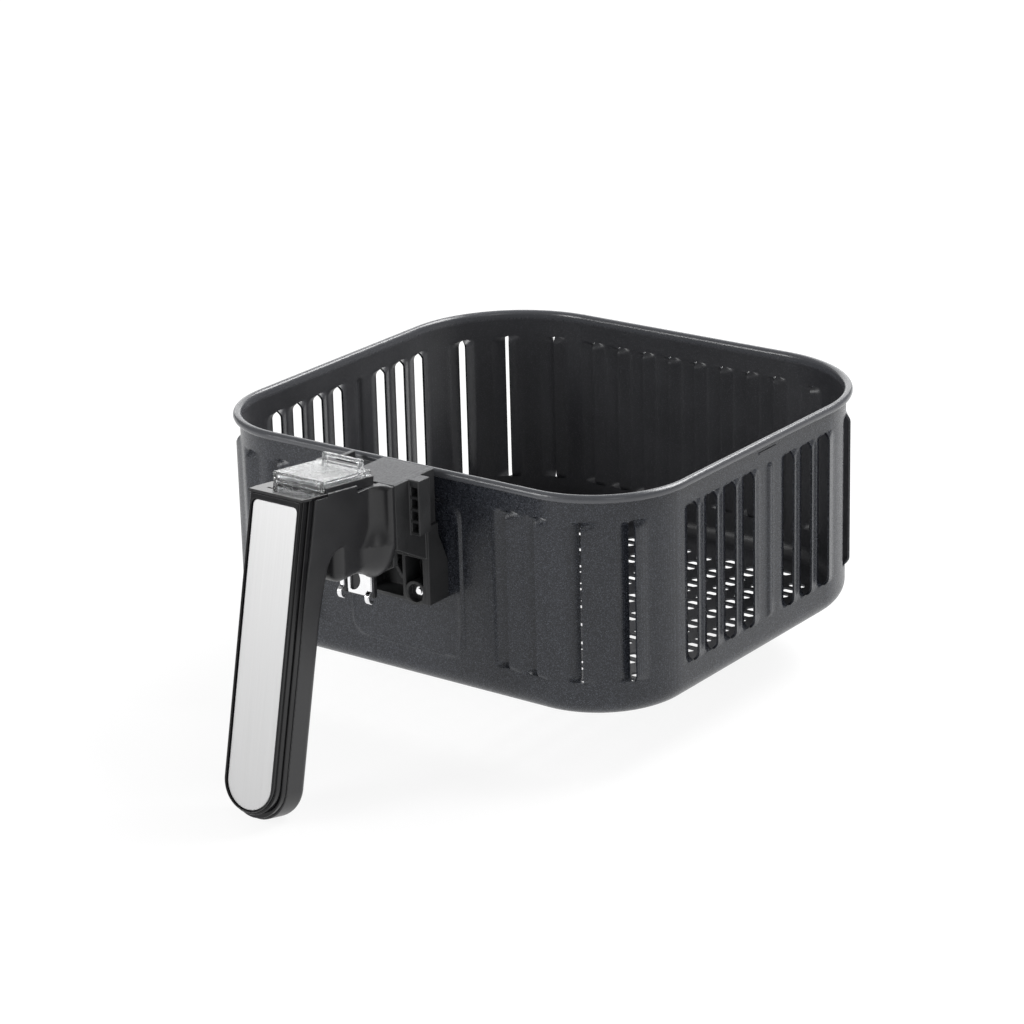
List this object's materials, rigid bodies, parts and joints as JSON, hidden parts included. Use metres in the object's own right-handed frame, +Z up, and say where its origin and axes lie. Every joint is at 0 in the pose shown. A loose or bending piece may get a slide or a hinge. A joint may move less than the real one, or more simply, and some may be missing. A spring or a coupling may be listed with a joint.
{
  "type": "air fryer basket",
  "caption": "Louvred non-stick frying basket with a drop handle, sliding clear button guard, release button and chrome pan latch.",
  "frame": {"origin": "centre of the basket's flat underside", "axes": "+Z up out of the basket's mouth, -Y towards the handle, +X to the right seen from the handle"},
  "size_m": [0.24, 0.339, 0.1458],
  "materials": {
    "nonstick_steel": "semi-matte non-stick coating with a fine sparkle",
    "zinc_steel": "zinc plated",
    "black_nylon": "glass-filled, finely textured",
    "satin_plastic": "satin moulded",
    "gloss_black": "high gloss",
    "brushed_inlay": "brushed lengthwise",
    "tape": "foam adhesive tape",
    "bed_plastic": "satin moulded",
    "clear_plastic": "clear polycarbonate",
    "spring_steel": "plain steel",
    "button_plastic": "fine texture",
    "chrome_steel": "bright chrome plate"
  },
  "bodies": {
    "handle_and_basket": {"basket_shell": "nonstick_steel", "backing_plate": "zinc_steel", "bracket_screws": "zinc_steel", "bracket_block": "black_nylon", "handle_body": "satin_plastic", "neck_screws": "zinc_steel", "grip_frame": "gloss_black", "grip_inlay": "brushed_inlay", "inlay_tape": "tape", "frame_screws": "zinc_steel", "top_cap": "gloss_black", "guide_bed": "bed_plastic", "bed_screws": "zinc_steel", "cover_detent_spring": "spring_steel", "button_spring": "spring_steel", "pivot_pin": "spring_steel", "pin_clips": "spring_steel", "latch_spring": "spring_steel"},
    "button_guard": {"slide_cover": "clear_plastic"},
    "button": {"release_button": "button_plastic"},
    "latch": {"latch_lever": "black_nylon", "latch_fork": "chrome_steel", "fork_rivets": "chrome_steel"}
  },
  "joints": [
    {"name": "guard_slide", "type": "slide", "parent": "handle_and_basket", "child": "button_guard", "axis": [0, -0.9936, 0.1132], "range_m": [0, 0.015]},
    {"name": "button_press", "type": "slide", "parent": "handle_and_basket", "child": "button", "axis": [0, -0.1132, -0.9936], "range_m": [0, 0.0035], "stiffness_N_per_m": 900, "springref_m": -0.002, "deforming": ["button_spring"]},
    {"name": "latch_swing", "type": "hinge", "parent": "handle_and_basket", "child": "latch", "pos_m": [0, -0.1505, 0.08], "axis": [1, 0, 0], "range_deg": [0, 12], "stiffness_Nm_per_rad": 0.06, "springref_deg": -11.46}
  ],
  "couplings": [
    {"joint": "latch_swing", "follows": "button_press", "rad_per_m": 58.5}
  ]
}
